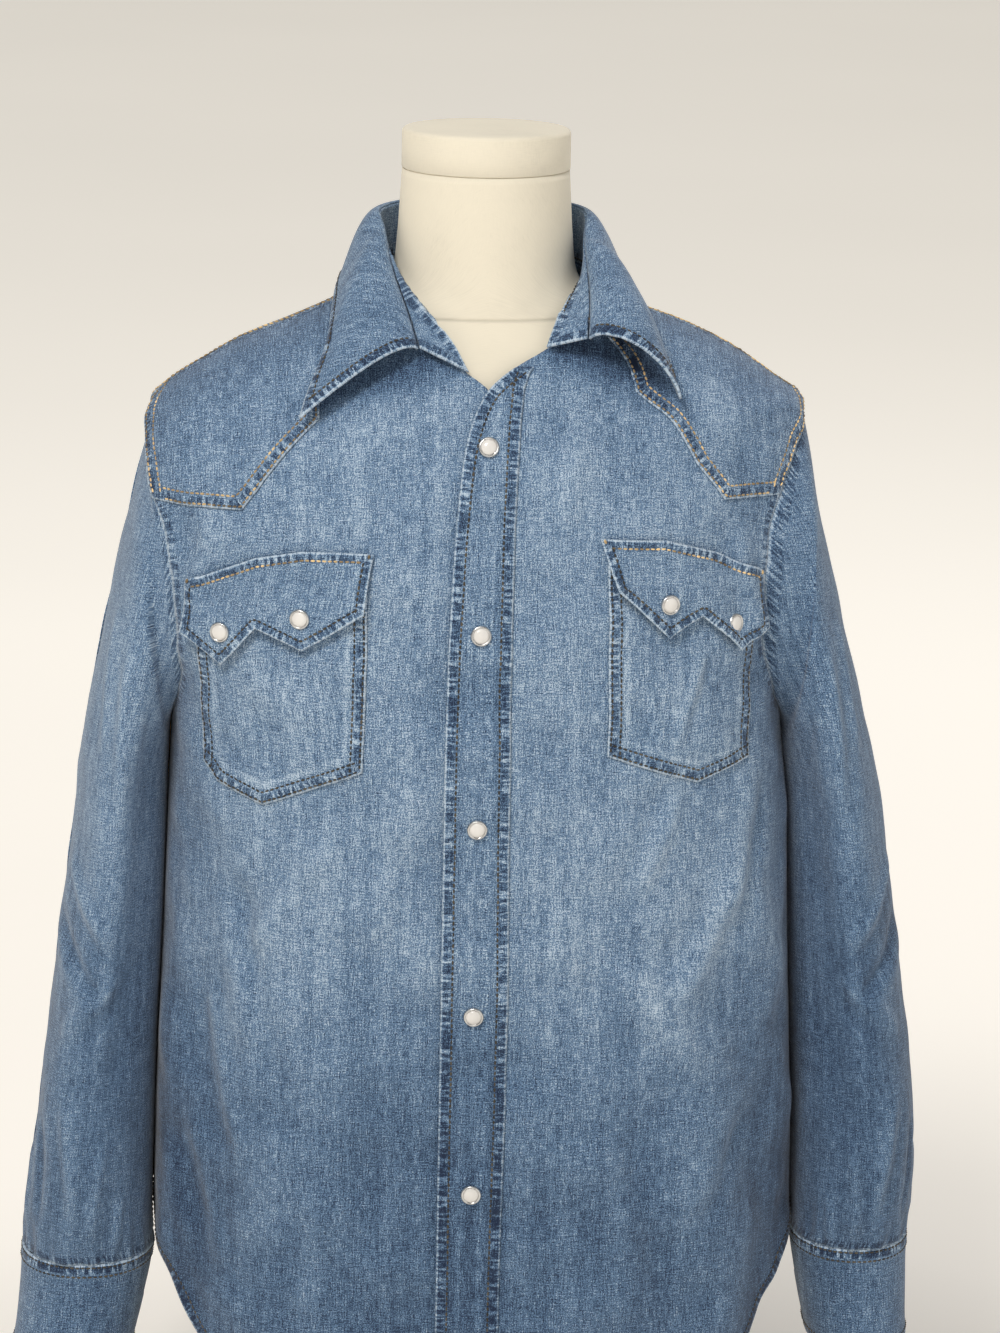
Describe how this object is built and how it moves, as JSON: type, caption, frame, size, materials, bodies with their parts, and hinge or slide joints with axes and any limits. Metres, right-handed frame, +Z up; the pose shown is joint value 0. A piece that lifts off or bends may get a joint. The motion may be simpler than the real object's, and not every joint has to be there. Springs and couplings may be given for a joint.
{
  "type": "denim shirt on dress form",
  "caption": "Long-sleeved denim western shirt with pearl snaps, pointed yokes and saw-tooth pocket flaps, worn by a limbless dress form on a round base.",
  "frame": {"origin": "centre of the stand base's underside", "axes": "+Z up, the shirt's front faces -Y, +X is the wearer's left"},
  "size_m": [0.5739, 0.28, 0.9183],
  "materials": {
    "denim": "stone-washed cotton denim, faded at seams",
    "linen": "cream linen stretched over a firm form",
    "pearl": "white pearl cap in a thin metal ring",
    "steel": "satin steel stand"
  },
  "bodies": {
    "root": {"back": "denim", "collar": "denim", "collar_stand": "denim", "cuff_left": "denim", "cuff_right": "denim", "flap_left": "denim", "flap_right": "denim", "form_base": "steel", "form_cap": "linen", "form_post": "steel", "form_torso": "linen", "front_left": "denim", "front_right": "denim", "placket_top": "denim", "pocket_left": "denim", "pocket_right": "denim", "sleeve_left": "denim", "sleeve_placket_left": "denim", "sleeve_placket_right": "denim", "sleeve_right": "denim", "snap_cuff_left": "pearl", "snap_cuff_right": "pearl", "snap_front_1": "pearl", "snap_front_2": "pearl", "snap_front_3": "pearl", "snap_front_4": "pearl", "snap_front_5": "pearl", "snap_front_6": "pearl", "snap_pocket_left_inner": "pearl", "snap_pocket_left_outer": "pearl", "snap_pocket_right_inner": "pearl", "snap_pocket_right_outer": "pearl", "yoke_back": "denim", "yoke_front_left": "denim", "yoke_front_right": "denim"}
  },
  "joints": []
}
